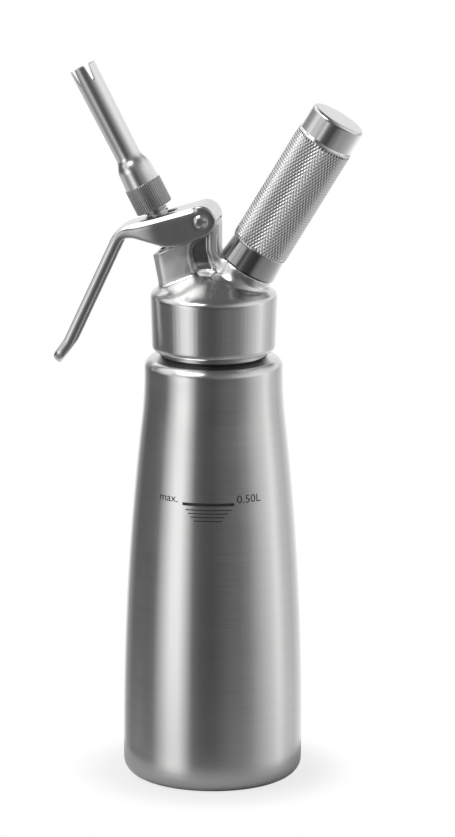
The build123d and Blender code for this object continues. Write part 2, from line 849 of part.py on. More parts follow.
export_step(lever.part, "parts/lever.step")

# Pivot barrel: sleeve nut through the cheeks and the lug, dome-headed on the far side
pivot_section = Plane(origin=pivot, x_dir=(1, 0, 0), z_dir=(0, 0, 1))
pivot_axis = Axis(pivot, (0, 1, 0))
head_top = lever_half_width + pin_head_height
head_edge = lever_half_width + pin_head_edge
with BuildPart() as pivot_barrel:
    with BuildSketch(pivot_section):
        with BuildLine():
            TangentArc((0, head_top), (pin_head_radius, head_edge), tangent=(1, 0))
            Polyline(
                (pin_head_radius, head_edge),
                (pin_head_radius, lever_half_width),
                (pin_radius, lever_half_width),
                (pin_radius, running_gap - lever_half_width),
                (screw_radius + fit_gap, running_gap - lever_half_width),
                (screw_radius + fit_gap, screw_length - lever_half_width + running_gap),
                (0, screw_length - lever_half_width + running_gap),
                (0, head_top),
            )
        make_face()
    revolve(axis=pivot_axis)
pivot_barrel.part.label = "pivot_barrel"
export_step(pivot_barrel.part, "parts/pivot_barrel.step")

# Pivot screw: dome head with a hexagon socket on the near side, screwed into the barrel
with BuildPart() as pivot_screw:
    with BuildSketch(pivot_section):
        with BuildLine():
            TangentArc((0, -head_top), (pin_head_radius, -head_edge), tangent=(1, 0))
            Polyline(
                (pin_head_radius, -head_edge),
                (pin_head_radius, -lever_half_width),
                (screw_radius, -lever_half_width),
                (screw_radius, screw_length - lever_half_width),
                (0, screw_length - lever_half_width),
                (0, -head_top),
            )
        make_face()
    revolve(axis=pivot_axis)
    socket_origin = pivot - Vector(0, head_top - screw_socket_depth, 0)
    with BuildSketch(Plane(origin=socket_origin, x_dir=(1, 0, 0), z_dir=(0, -1, 0))):
        RegularPolygon(screw_socket, 6)
    extrude(amount=pin_head_height, mode=Mode.SUBTRACT)
pivot_screw.part.label = "pivot_screw"
export_step(pivot_screw.part, "parts/pivot_screw.step")

# Check valve: rubber duckbill on a ledge below the pin holder, lets the gas into the bottle only
with BuildPart() as check_valve:
    check_top = check_ledge + check_flange
    with BuildSketch(charger_section):
        with BuildLine():
            Polyline(
                (0, check_tip),
                (check_tip_radius, check_tip),
                (check_bill_radius, check_ledge),
                (check_flange_radius, check_ledge),
                (check_flange_radius, check_top),
                (check_mouth, check_top),
                (check_mouth, check_ledge),
                (0, check_tip + check_mouth),
                close=True,
            )
        make_face()
    revolve(axis=charger_axis)
    slit_origin = charger_foot + charger_dir * check_tip
    with BuildSketch(Plane(origin=slit_origin, x_dir=charger_side, z_dir=charger_dir)):
        Rectangle(check_slit, 2 * check_mouth)
    extrude(amount=2 * check_mouth, both=True, mode=Mode.SUBTRACT)
check_valve.part.label = "check_valve"
export_step(check_valve.part, "parts/check_valve.step")

# Pin holder: brass insert in the charger boss, with two gas holes beside the pin
with BuildPart() as pin_holder:
    insert_origin = charger_foot + charger_dir * pin_holder_bottom
    with BuildSketch(Plane(origin=insert_origin, x_dir=charger_side, z_dir=charger_dir)):
        Circle(pin_holder_radius)
        with PolarLocations(gas_hole_reach, 2):
            Circle(gas_hole_radius, mode=Mode.SUBTRACT)
    extrude(amount=pin_holder_length)
    root_origin = charger_foot + charger_dir * (pin_holder_top - piercing_root)
    with BuildSketch(Plane(origin=root_origin, x_dir=charger_side, z_dir=charger_dir)):
        Circle(piercing_radius + fit_gap)
    extrude(amount=piercing_root, mode=Mode.SUBTRACT)
pin_holder.part.label = "pin_holder"
export_step(pin_holder.part, "parts/pin_holder.step")

# Piercing pin: hardened steel, stands in the pin holder and reaches into the bulb's neck
with BuildPart() as piercing_pin:
    pin_tip = bulb_tip + piercing_reach
    with BuildSketch(charger_section):
        with BuildLine():
            Polyline(
                (0, pin_holder_top - piercing_root),
                (piercing_radius, pin_holder_top - piercing_root),
                (piercing_radius, pin_tip - piercing_neck_length),
                (piercing_neck_radius, pin_tip - piercing_neck_length),
                (piercing_neck_radius, pin_tip - piercing_cone),
                (0, pin_tip),
                close=True,
            )
        make_face()
    revolve(axis=charger_axis)
piercing_pin.part.label = "piercing_pin"
export_step(piercing_pin.part, "parts/piercing_pin.step")

# Charger seal: rubber ring on the boss's floor, which the bulb's neck presses on
with BuildPart() as charger_seal:
    seal_origin = charger_foot + charger_dir * charger_seal_floor
    with BuildSketch(Plane(origin=seal_origin, x_dir=charger_side, z_dir=charger_dir)):
        Circle(neck_bore_radius - running_gap)
        Circle(charger_seal_hole, mode=Mode.SUBTRACT)
    extrude(amount=charger_seal_thickness)
charger_seal.part.label = "charger_seal"
export_step(charger_seal.part, "parts/charger_seal.step")

# Charger: drawn steel gas bulb with a round base and a pierced neck
with BuildPart() as charger:
    neck_end = bulb_tip + bulb_neck_length
    body_start = neck_end + bulb_shoulder_length
    round_start = bulb_base - bulb_radius
    inner_radius = bulb_radius - bulb_wall
    inner_neck = bulb_neck_radius - bulb_wall
    shoulder_middle = ((bulb_radius + bulb_neck_radius) / 2, neck_end + bulb_shoulder_length / 2)
    inner_middle = ((inner_radius + inner_neck) / 2, neck_end + bulb_shoulder_length / 2)
    with BuildSketch(charger_section):
        with BuildLine():
            Polyline((pierced_radius, bulb_tip), (bulb_neck_radius, bulb_tip), (bulb_neck_radius, neck_end))
            TangentArc((bulb_neck_radius, neck_end), shoulder_middle, tangent=(0, 1))
            TangentArc((bulb_radius, body_start), shoulder_middle, tangent=(0, -1))
            Line((bulb_radius, body_start), (bulb_radius, round_start))
            TangentArc((bulb_radius, round_start), (0, bulb_base), tangent=(0, 1))
            Line((0, bulb_base), (0, bulb_base - bulb_wall))
            TangentArc((0, bulb_base - bulb_wall), (inner_radius, round_start), tangent=(1, 0))
            Line((inner_radius, round_start), (inner_radius, body_start))
            TangentArc((inner_radius, body_start), inner_middle, tangent=(0, -1))
            TangentArc((inner_neck, neck_end), inner_middle, tangent=(0, 1))
            Polyline(
                (inner_neck, neck_end),
                (inner_neck, bulb_tip + bulb_cap),
                (pierced_radius, bulb_tip + bulb_cap),
                (pierced_radius, bulb_tip),
            )
        make_face()
    revolve(axis=charger_axis)
charger.part.label = "charger"
export_step(charger.part, "parts/charger.step")

# Charger holder: screw-on steel sleeve with a plain collar, a knurled grip and a plain end
with BuildPart() as charger_holder:
    collar_end = holder_start + collar_length
    knurl_end = collar_end + knurl_length
    bulb_bore = bulb_radius + bulb_room
    thread_bore = spigot_thread_radius + running_gap
    thread_bore_end = spigot_end + 2 * bulb_room
    with BuildSketch(charger_section) as sleeve:
        with BuildLine():
            Polyline(
                (thread_bore, holder_start),
                (holder_foot_radius, holder_start),
                (holder_radius, collar_end),
                (knurl_radius, collar_end),
                (knurl_radius, knurl_end - knurl_chamfer),
                (knurl_radius - knurl_chamfer, knurl_end),
                (holder_radius, knurl_end),
                (holder_radius, holder_end),
                (0, holder_end),
                (0, holder_end - holder_end_wall),
                (bulb_bore, holder_end - holder_end_wall),
                (bulb_bore, thread_bore_end),
                (thread_bore, thread_bore_end),
                close=True,
            )
        make_face()
        fillet(sleeve.vertices().sort_by_distance((holder_radius, holder_end))[0], holder_end_round)
    revolve(axis=charger_axis)
charger_holder.part.label = "charger_holder"
export_step(charger_holder.part, "parts/charger_holder.step")
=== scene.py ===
import bpy, bmesh, math
from mathutils import Matrix, Vector


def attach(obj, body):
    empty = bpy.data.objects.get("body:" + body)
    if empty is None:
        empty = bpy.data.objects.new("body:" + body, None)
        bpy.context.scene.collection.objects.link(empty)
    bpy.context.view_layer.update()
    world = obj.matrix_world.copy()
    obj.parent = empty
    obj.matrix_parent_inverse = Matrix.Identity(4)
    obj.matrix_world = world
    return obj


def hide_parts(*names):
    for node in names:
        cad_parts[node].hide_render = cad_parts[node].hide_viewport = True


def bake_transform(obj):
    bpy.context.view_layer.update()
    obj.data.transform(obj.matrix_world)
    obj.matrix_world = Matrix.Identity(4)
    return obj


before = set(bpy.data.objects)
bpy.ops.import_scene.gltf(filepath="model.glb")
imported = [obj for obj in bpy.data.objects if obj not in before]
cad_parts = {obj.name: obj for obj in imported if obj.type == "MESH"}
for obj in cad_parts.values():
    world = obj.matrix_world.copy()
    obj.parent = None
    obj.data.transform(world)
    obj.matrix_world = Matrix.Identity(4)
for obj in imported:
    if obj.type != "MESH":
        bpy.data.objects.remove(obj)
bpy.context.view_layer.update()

# Bottle
# Deep drawn from 1 mm stainless sheet and spun in at the neck; it stands on a ring
# round its dished base and is brushed all round on a lathe.
mm = 0.001
bottle_wall = 1.0
base_radius = 38.0
base_corner = 6.5
dish_radius = 27.0
dish_height = 3.0
widest_height = 20.0
neck_radius = 29.2
neck_height = 174.5
neck_hollow = 170.0
shoulder_start = 177.5
shoulder_end = (25.6, 181.4)
rise_to_mouth = ((24.6, 181.8), (23.6, 182.25))
mouth_edge = [(22.65, 182.8), (22.65, 181.8)]


class Shade:
    """A socket of a shader's nodes, on which Python's own arithmetic works."""

    def __init__(self, tree, socket=None):
        self.tree = tree
        self.socket = socket

    def node(self, kind, settings=None, values=None, out=0):
        """An output of a new node: its settings are set first, then its sockets' values or links."""
        made = self.tree.nodes.new(kind)
        for name, value in (settings or {}).items():
            if name == "stops":
                marks = made.color_ramp.elements
                while len(marks) < len(value):
                    marks.new(0.5)
                for mark, (position, level) in zip(marks, value):
                    mark.position = position
                    mark.color = (level, level, level, 1)
            else:
                setattr(made, name, value)
        for name, value in (values or {}).items():
            if isinstance(value, Shade):
                self.tree.links.new(value.socket, made.inputs[name])
            else:
                made.inputs[name].default_value = value
        return Shade(self.tree, made.outputs[out])

    def maths(self, how, first, second=0.0):
        return self.node("ShaderNodeMath", {"operation": how}, {0: first, 1: second})

    def fade(self, low, high):
        """0 up to low, 1 from high, smooth between."""
        smooth = {"interpolation_type": "SMOOTHSTEP"}
        return self.node("ShaderNodeMapRange", smooth, {0: self, 1: low, 2: high})

    def tint(self, low, high):
        """The colour low where this is 0, the colour high where it is 1."""
        return self.node("ShaderNodeMix", {"data_type": "RGBA"}, {0: self, 6: low, 7: high}, 2)

    def noise(self, scale, detail):
        """Cloudy values over these coordinates."""
        return self.node("ShaderNodeTexNoise", {}, {"Vector": self, "Scale": scale, "Detail": detail})

    def feed(self, shader, name):
        self.tree.links.new(self.socket, shader.inputs[name])

    def __add__(self, other):
        return self.maths("ADD", self, other)

    def __radd__(self, other):
        return self.maths("ADD", other, self)

    def __sub__(self, other):
        return self.maths("SUBTRACT", self, other)

    def __rsub__(self, other):
        return self.maths("SUBTRACT", other, self)

    def __mul__(self, other):
        return self.maths("MULTIPLY", self, other)

    def __rmul__(self, other):
        return self.maths("MULTIPLY", other, self)

    def __truediv__(self, other):
        return self.maths("DIVIDE", self, other)

    def __rtruediv__(self, other):
        return self.maths("DIVIDE", other, self)


def material(name):
    """A new material, its shader and the coordinates that its patterns lie in."""
    made = bpy.data.materials.new(name)
    made.use_nodes = True
    place = Shade(made.node_tree).node("ShaderNodeTexCoord", out="Object")
    return made, made.node_tree.nodes["Principled BSDF"], place


def metal_skin(shader, place, pale, dark, gloss, grain, depth, pull=0.0):
    """Bare metal: fine lines that run where the grain's numbers are small, with cloudy wear over
    them. Pull draws the gloss out across the lines. Returns what the shader gives."""
    shader.inputs["Metallic"].default_value = 1.0
    shader.inputs["Anisotropic"].default_value = pull
    shader.inputs["Anisotropic Rotation"].default_value = 0.25
    along = place.node("ShaderNodeVectorMath", {"operation": "MULTIPLY"}, {0: place, 1: grain})
    lines = along.noise(1.0, 4.0)
    cloud = place.noise(45.0, 3.0)
    tone = lines * 0.7 + cloud * 0.3
    tone.tint((*dark, 1), (*pale, 1)).feed(shader, "Base Color")
    (gloss * (0.7 + lines * 0.4 + cloud * 0.2)).feed(shader, "Roughness")
    dents = place.node("ShaderNodeBump", {}, {"Strength": 0.12, "Distance": depth, "Height": lines})
    dents.feed(shader, "Normal")
    return Shade(place.tree, shader.outputs[0])


def metal(name, **finish):
    """A material of bare metal."""
    made, shader, place = material(name)
    metal_skin(shader, place, **finish)
    return made


def dress(piece, *finishes):
    """Gives a piece its materials in place of any that it has."""
    piece.data.materials.clear()
    for finish in finishes:
        piece.data.materials.append(finish)


def mesh_of(name, work):
    """The mesh of finished bmesh work."""
    mesh = bpy.data.meshes.new(name)
    work.to_mesh(mesh)
    work.free()
    return mesh


def put(name, data, place=Matrix()):
    """A new object in the scene."""
    made = bpy.data.objects.new(name, data)
    bpy.context.scene.collection.objects.link(made)
    made.matrix_world = place
    bpy.context.view_layer.update()
    return made


def round_off(mesh, edge_angle):
    """Shades a mesh round, except at edges sharper than an angle in degrees."""
    mesh.shade_smooth()
    mesh.set_sharp_from_angle(angle=math.radians(edge_angle))


def arc(start, end, heading, count):
    """Points after start of the round that leaves it along heading and reaches end."""
    a, b, way = Vector(start), Vector(end), Vector(heading).normalized()
    side = Vector((-way.y, way.x))
    chord = b - a
    radius = chord.length_squared / (2 * chord.dot(side))
    centre = a + side * radius
    spoke = a - centre
    sweep = 2 * math.atan2(chord.dot(side), chord.dot(way))
    turns = [Matrix.Rotation(sweep * step / count, 2) for step in range(1, count + 1)]
    return [tuple(centre + turn @ spoke) for turn in turns]


def turned(name, rows, columns, body, place=Matrix()):
    """A lathe piece from rows of (radius, height) in mm. A knurled row gives its radius as a
    function of the column, and a face whose corners don't lie flat is split along its ridge."""
    work = bmesh.new()
    rings = []
    for radius, height in rows:
        reaches = [radius(column) if callable(radius) else radius for column in range(columns)]
        if max(reaches) == 0:
            reaches = [0]
        ring = []
        for column, reach in enumerate(reaches):
            angle = 2 * math.pi * column / columns
            spot = (reach * mm * math.cos(angle), reach * mm * math.sin(angle), height * mm)
            ring.append((work.verts.new(spot), reach))
        rings.append(ring)
    for low, high in zip(rings, rings[1:]):
        for column in range(columns if len(low) + len(high) > 2 else 0):
            after = (column + 1) % columns
            (a, reach_a), (b, reach_b) = low[column % len(low)], low[after % len(low)]
            (d, reach_d), (c, reach_c) = high[column % len(high)], high[after % len(high)]
            if len(low) == 1:
                work.faces.new((a, c, d))
            elif len(high) == 1:
                work.faces.new((a, b, c))
            elif reach_a + reach_c < reach_b + reach_d - 0.01:
                work.faces.new((a, b, c))
                work.faces.new((a, c, d))
            elif reach_a + reach_c > reach_b + reach_d + 0.01:
                work.faces.new((a, b, d))
                work.faces.new((b, c, d))
            else:
                work.faces.new((a, b, c, d))
    bmesh.ops.recalc_face_normals(work, faces=work.faces)
    piece = put(name, mesh_of(name, work), place)
    round_off(piece.data, edge_angle=28)
    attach(piece, body)
    return piece


def bottle_dish(inset):
    """The dished middle of the base, set in from the skin."""
    middle = (0.0, dish_height + inset)
    return [middle] + arc(middle, (dish_radius, inset), (1, 0), 8)


def bottle_side(inset):
    """The bottle's side from the edge of its base to its mouth, set in from the skin."""
    narrowing = base_radius - neck_radius
    rise = neck_height - widest_height
    swell = (narrowing**2 + rise**2) / (2 * narrowing) - neck_hollow
    low = Vector((base_radius - swell, widest_height))
    high = Vector((neck_radius + neck_hollow, neck_height))
    meet = tuple(low + (high - low).normalized() * (swell - inset))
    wide = base_radius - inset
    narrow = neck_radius - inset
    edge = (base_radius - base_corner, inset)
    side = [edge] + arc(edge, (wide, base_corner), (1, 0), 8)
    side += [(wide, 2 * base_corner), (wide, widest_height)]
    side += arc((wide, widest_height), meet, (0, 1), 26)
    side += arc((narrow, neck_height), meet, (0, -1), 16)[-2::-1]
    side += [(narrow, neck_height), (narrow, shoulder_start)]
    side += arc((narrow, shoulder_start), (shoulder_end[0], shoulder_end[1] - inset), (0, 1), 8)
    side += [(radius, height - inset) for radius, height in rise_to_mouth]
    return side


outside = bottle_dish(0.0) + bottle_side(0.0) + mouth_edge
inside = bottle_dish(bottle_wall) + bottle_side(bottle_wall)
bottle = turned("bottle_shell", outside + inside[::-1], 256, "bottle")
brushed_bottle = metal(
    "brushed_bottle", pale=(0.7, 0.7, 0.695), dark=(0.56, 0.56, 0.555), gloss=0.21,
    grain=(9, 9, 4200), depth=0.000006, pull=0.85
)
dress(bottle, brushed_bottle)
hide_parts("bottle")

# Fill mark
# Printed on the bottle in black enamel: a thick bar at half a litre, four thinner lines
# below it and a word on each side.
half_litre = 125.1
bar_height = 1.25
line_height = 0.38
bar_steps = 24
enamel_thickness = 0.04
letter_size = 4.7
letter_foot = 125.5


def skin(height):
    """The bottle's radius at a height above its base, in mm."""
    side = [corner for corner in bottle_side(0.0) if corner[1] >= widest_height]
    for (near, low), (far, high) in zip(side, side[1:]):
        if low <= height <= high:
            return near + (far - near) * (height - low) / (high - low)


def on_bottle(angle, height):
    """A point just off the bottle's skin; the angle runs from the front to the right."""
    reach = skin(height) + enamel_thickness
    turn = math.radians(angle)
    return Vector((reach * math.sin(turn), -reach * math.cos(turn), height)) * mm


def baked(piece):
    """The piece's mesh with its modifiers worked in."""
    bpy.context.view_layer.update()
    return bpy.data.meshes.new_from_object(piece.evaluated_get(bpy.context.evaluated_depsgraph_get()))


ink = bmesh.new()
for left, right, height, thickness in (
    (-13.7, 24.3, half_litre, bar_height),
    (-11.2, 22.5, 122.8, line_height),
    (-9.4, 19.9, 121.3, line_height),
    (-7.4, 17.3, 119.8, line_height),
    (-4.9, 15.3, 118.2, line_height),
):
    edges = []
    for step in range(bar_steps + 1):
        angle = left + (right - left) * step / bar_steps
        edges.append([ink.verts.new(on_bottle(angle, height + part * thickness)) for part in (-0.5, 0.5)])
    for (a, b), (d, c) in zip(edges, edges[1:]):
        ink.faces.new((a, d, c, b))
for word, left, right in (("0.50L", 26.4, 45.6), ("max.", -33.0, -17.6)):
    letters = bpy.data.curves.new(word, "FONT")
    letters.body = word
    letters.size = letter_size
    stencil = put(word, letters)
    flat = baked(stencil)
    bpy.data.objects.remove(stencil)
    first = min(corner.co.x for corner in flat.vertices)
    length = max(corner.co.x for corner in flat.vertices) - first
    printed = []
    for corner in flat.vertices:
        angle = left + (right - left) * (corner.co.x - first) / length
        printed.append(ink.verts.new(on_bottle(angle, letter_foot + corner.co.y)))
    for face in flat.polygons:
        ink.faces.new([printed[corner] for corner in face.vertices])
mark = put("fill_mark", mesh_of("fill_mark", ink))
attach(mark, "bottle")
black_enamel, enamel_shader, enamel_place = material("black_enamel")
speck = enamel_place.noise(900.0, 3.0)
speck.tint((0.012, 0.012, 0.013, 1), (0.03, 0.03, 0.031, 1)).feed(enamel_shader, "Base Color")
(0.35 + speck * 0.3).feed(enamel_shader, "Roughness")
dress(mark, black_enamel)

# Neck ring
# Turned from stainless bar with a coarse thread for the head, and welded under the
# bottle's shoulder; only a dark groove of it shows below the cap.
lathe_cut = metal(
    "lathe_cut", pale=(0.62, 0.62, 0.61), dark=(0.45, 0.45, 0.44), gloss=0.3,
    grain=(12, 12, 4200), depth=0.00004, pull=0.4
)
dress(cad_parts["neck_ring"], lathe_cut)

# Head
# Cast stainless steel in one piece: the screw cap with its dome, brushed on a lathe,
# and the valve housing, lever lug and charger boss that are ground and polished.
cap_radius = 26.8
cap_rim = 208.8
worn_from = 210.5
dome_slope = 0.72
dome_flattening = 0.16
dome_flat_radius = 24.0
valve_tilt = math.radians(27.5)
valve_base = Vector((0, 0, 196.0))
valve_way = Vector((-math.sin(valve_tilt), 0, math.cos(valve_tilt)))
valve_across = Vector((math.cos(valve_tilt), 0, math.sin(valve_tilt)))
housing_top = 37.2
housing_top_radius = 9.7
housing_widening = 0.363
bush_seat = 36.6
bush_radius = 10.2
charger_tilt = math.radians(30.8)
charger_base = Vector((0, 0, 196.6))
charger_way = Vector((math.sin(charger_tilt), 0, math.cos(charger_tilt)))
charger_bore_foot = 8.0
bore_radius = 8.0
boss_end = 27.2
boss_left = 3.2
spigot_radius = 11.0
pivot = Vector((-4.4, 0, 240.8))
pivot_hole = 3.2
lug_half_width = 8.05
hollow_left = -9.6
hollow_right = -1.4
hollow_depth = 2.7
hollow_waist = (227.0, 229.0)
hollow_bend = 229.4
flank_root = 20.5
flank_top = 33.0
flank_draft = 0.17
flank_core = 5.0
flank_steps = 8


def softened(name, node, body, grain, rounds, pull, wear, added=()):
    """A cast or pressed piece with rounded edges: the CAD's shape and what is added to it, in
    even small faces, pulled into its last shape and then worn where wear is more than 0."""
    blank = bmesh.new()
    for mesh in (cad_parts[node].data, *added):
        blank.from_mesh(mesh)
    piece = put(name, mesh_of(name, blank))
    even = piece.modifiers.new("even", "REMESH")
    even.mode = "VOXEL"
    even.voxel_size = grain * mm
    first = piece.modifiers.new("first", "SMOOTH")
    first.factor = 0.5
    first.iterations = 3
    piece.data = baked(piece)
    piece.modifiers.clear()
    worn = piece.vertex_groups.new(name="worn")
    for corner in piece.data.vertices:
        worn.add([corner.index], wear(corner.co / mm), "REPLACE")
        corner.co = pull(corner.co / mm) * mm
    last = piece.modifiers.new("last", "SMOOTH")
    last.factor = 0.5
    last.iterations = rounds
    last.vertex_group = "worn"
    piece.data = baked(piece)
    piece.modifiers.clear()
    piece.data.shade_smooth()
    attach(piece, body)
    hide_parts(node)
    return piece


def from_axis(spot, base, way):
    """How far a point lies along an axis from its base, and how far off the axis."""
    reach = (spot - base).dot(way)
    return reach, (spot - (base + way * reach)).length


def casting_wear(spot):
    """The blends above the cap's rim wear, but not the bores, the spigot or the pivot's hole."""
    valve_reach, off_valve = from_axis(spot, valve_base, valve_way)
    charger_reach, off_charger = from_axis(spot, charger_base, charger_way)
    in_valve_bore = off_valve < bore_radius
    in_charger_bore = off_charger < bore_radius and charger_reach > charger_bore_foot
    at_hole = math.hypot(spot.x - pivot.x, spot.z - pivot.z) < pivot_hole
    past_boss = charger_reach > boss_end and spot.x > boss_left
    at_spigot = past_boss and off_charger < spigot_radius
    at_bush = valve_reach > bush_seat and off_valve < bush_radius
    if spot.z < worn_from or in_valve_bore or in_charger_bore or at_hole or at_spigot or at_bush:
        return 0.0
    if -10.2 < spot.x < 1.0 and 221.8 < spot.z < 238.6 and abs(spot.y) > 4.6:
        return 0.2
    return 0.4 if past_boss else 1.0


def ease(low, high, value):
    """0 up to low, 1 from high, smooth between."""
    share = min(max((value - low) / (high - low), 0.0), 1.0)
    return share * share * (3 - 2 * share)


def lug_hollow(x, z):
    """Depth of the flat-floored hollow on each side of the lug. Its left side bows out towards the
    housing, and its right side bends away into the charger boss."""
    below_waist = max(hollow_waist[0] - z, 0.0) / 7.0
    above_waist = max(z - hollow_waist[1], 0.0) / 4.0
    below_bend = min(max(hollow_bend - z, 0.0) / 5.5, 1.0)
    left = hollow_left + 3.0 * below_waist**2 + 3.0 * above_waist**2
    right = hollow_right + 2.6 * below_bend**2
    sides = ease(left - 0.4, left + 1.3, x) * (1 - ease(right - 0.5, right + 0.3, x))
    return hollow_depth * sides * ease(220.8, 222.4, z) * (1 - ease(237.0, 238.2, z))


def casting_pull(spot):
    """Flattens the dome's cone towards its middle and sinks the hollows of the lug."""
    x, y, z = spot
    if casting_wear(spot) == 0.0:
        return spot
    radius = math.hypot(x, y)
    cone = cap_rim + (cap_radius - radius) * dome_slope
    if z > cone - 1.2 and radius < dome_flat_radius:
        drop = dome_flattening * (dome_flat_radius - radius)
        z -= drop * (1 - ease(0.6, 3.5, spot.z - cone))
    hollow = lug_hollow(x, spot.z)
    if hollow > 0 and 5.0 < abs(y) < 11.0:
        share = ease(0.0, 0.5, hollow)
        y = math.copysign(abs(y) * (1 - share) + (lug_half_width - hollow) * share, y)
    return Vector((x, y, z))


def housing_flank(side):
    """The draft on a flank of the valve housing, which widens to its root, as a closed body."""
    work = bmesh.new()
    for rise in range(flank_steps + 1):
        reach = flank_root + (flank_top - flank_root) * rise / flank_steps
        far = lug_half_width + (flank_top - reach) * flank_draft
        housing_radius = housing_top_radius + (housing_top - reach) * housing_widening
        left = 0.3 - math.sqrt(housing_radius**2 - far**2)
        right = 4.6 + (reach - 24.0) * 0.2
        for step in range(flank_steps + 1):
            across = left + (right - left) * step / flank_steps
            crown = 0.5 * ((across + 2.0) / 8.0) ** 2
            spot = valve_base + valve_way * reach + valve_across * across
            for y in (flank_core, far - crown):
                work.verts.new(Vector((spot.x, side * y, spot.z)) * mm)
    hull = bmesh.ops.convex_hull(work, input=work.verts)
    spare = set(hull["geom_interior"] + hull["geom_unused"])
    corners = [corner for corner in spare if isinstance(corner, bmesh.types.BMVert)]
    bmesh.ops.delete(work, geom=corners, context="VERTS")
    return mesh_of("flank", work)


def boss_blend():
    """The thick blend in the corner between the lug and the charger boss, as a closed body."""
    work = bmesh.new()
    for x, z, half_width in (
        (1.6, 227.6, 6.6), (3.0, 226.2, 7.0), (6.1, 224.3, 7.6), (9.0, 219.0, 9.4), (1.6, 219.0, 8.6),
    ):
        for y in (-half_width, half_width):
            work.verts.new(Vector((x, y, z)) * mm)
    bmesh.ops.convex_hull(work, input=work.verts)
    return mesh_of("boss_blend", work)


cast_on = [housing_flank(-1), housing_flank(1), boss_blend()]
head = softened("head_casting", "head", "head", 0.46, 60, casting_pull, casting_wear, cast_on)
head_steel, cap_shader, head_place = material("head_steel")
casting_shader = head_place.node("ShaderNodeBsdfPrincipled").socket.node
hollow_shader = head_place.node("ShaderNodeBsdfPrincipled").socket.node
head_x, head_y, head_z = (
    head_place.node("ShaderNodeSeparateXYZ", {}, {0: head_place}, axis) / mm for axis in "XYZ"
)
brushed_cap = metal_skin(
    cap_shader, head_place, pale=(0.68, 0.68, 0.675), dark=(0.58, 0.58, 0.575), gloss=0.19,
    grain=(9, 9, 4200), depth=0.000006, pull=0.8
)
ground_casting = metal_skin(
    casting_shader, head_place, pale=(0.76, 0.76, 0.755), dark=(0.64, 0.64, 0.635),
    gloss=0.43 - 0.23 * head_x.fade(4.0, 7.0), grain=(500, 300, 300), depth=0.00002
)
# Painted shade: the hollows of the lug get a steel colour far darker than the rest of the casting, for the
# dark inside them; their low roughness is a real polish.
hollow_polish_and_painted_shade = metal_skin(
    hollow_shader, head_place, pale=(0.42, 0.42, 0.415), dark=(0.32, 0.32, 0.315), gloss=0.16,
    grain=(500, 300, 300), depth=0.00002
)
from_middle = head_place.maths("SQRT", head_x * head_x + head_y * head_y)
dome_drop = dome_flattening * head_place.maths("MAXIMUM", dome_flat_radius - from_middle, 0.0)
dome_top = cap_rim + (cap_radius - from_middle) * dome_slope - dome_drop
above_dome = (head_z - dome_top).fade(0.5, 2.0)
inside_lug = 1 - head_place.maths("ABSOLUTE", head_y).fade(5.7, 6.9)
right_of_housing = head_x.fade(hollow_left, hollow_left + 1.0)
left_of_boss = 1 - head_x.fade(hollow_right - 0.4, hollow_right + 0.4)
in_hollow = inside_lug * right_of_housing * left_of_boss * head_z.fade(221.8, 223.2)
outer_skin = head_place.node("ShaderNodeMixShader", {}, {0: above_dome, 1: brushed_cap, 2: ground_casting})
whole_skin = head_place.node("ShaderNodeMixShader", {}, {0: in_hollow, 1: outer_skin, 2: hollow_polish_and_painted_shade})
whole_skin.feed(head_steel.node_tree.nodes["Material Output"], "Surface")
dress(head, head_steel)
head.data.use_auto_texspace = False
head.data.texspace_location = (0, 0, 0.22)
head.data.texspace_size = (0.05, 0.05, 0.05)

# The cap squeezes the gasket on to the bottle's rim.


def rubber(name, colour, rough):
    """Moulded rubber: dull, a little cloudy, with a fine even grain."""
    made, shader, place = material(name)
    grain = place.noise(1800.0, 3.0)
    cloud = place.noise(120.0, 2.0)
    shaded = tuple(part * 0.75 for part in colour)
    cloud.tint((*shaded, 1), (*colour, 1)).feed(shader, "Base Color")
    (rough + grain * 0.2).feed(shader, "Roughness")
    pores = place.node("ShaderNodeBump", {}, {"Strength": 0.3, "Distance": 0.00003, "Height": grain})
    pores.feed(shader, "Normal")
    return made


silicone = rubber("silicone", (0.62, 0.63, 0.62), 0.45)
black_rubber = rubber("black_rubber", (0.025, 0.025, 0.026), 0.5)
for name in ("head_gasket", "check_valve", "valve_seal", "nozzle_seal"):
    dress(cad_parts[name], silicone)
for name in ("charger_seal", "stem_o_ring"):
    dress(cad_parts[name], black_rubber)

# Valve and its guide bush
# Turned stainless stem with a thread for the nozzle, a valve head screwed to its foot
# and a bush that closes the housing.
for name in ("guide_bush", "valve_stem", "valve_poppet"):
    dress(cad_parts[name], lathe_cut)

# Valve spring
# Wound from hard stainless wire; its foot stays on the bush while the stem's flange
# presses its other end down.
wire = 1.0 * mm
valve_foot = valve_base * mm
spring_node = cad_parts["valve_spring"]
spring = put("valve_coil", spring_node.data.copy(), spring_node.matrix_world)
spring_wire = metal(
    "spring_wire", pale=(0.6, 0.6, 0.6), dark=(0.46, 0.46, 0.46), gloss=0.24,
    grain=(900, 900, 900), depth=0.00002
)
dress(spring, spring_wire)
spring.data.shade_smooth()
reaches = [(spring.matrix_world @ corner.co - valve_foot).dot(valve_way) for corner in spring.data.vertices]
valve_foot + valve_way * (min(reaches) + wire / 2)
valve_foot + valve_way * (max(reaches) - wire / 2)
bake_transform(spring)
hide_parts("valve_spring")

# Lever
# Pressed from 1.4 mm stainless sheet to a channel, its rear tongue wrapped round the
# lug, and polished; it hinges on the pivot in the lug.
lever_sheet = 1.4
lever_half_width = 9.75
lever_plate_rise = 6.6
lever_slope = math.radians(17.1)
lever_way = Vector((-math.cos(lever_slope), 0, -math.sin(lever_slope)))
lever_up = Vector((-math.sin(lever_slope), 0, math.cos(lever_slope)))
bend_radius = 2.9
cheek_fullness = 1.3
arm_narrowing = 1.6
plug_height = 1.36


def pressing_wear(spot):
    """The long bends between the plate and the cheeks wear most."""
    return 1.0 if abs(spot.y) > 5.0 else 0.4


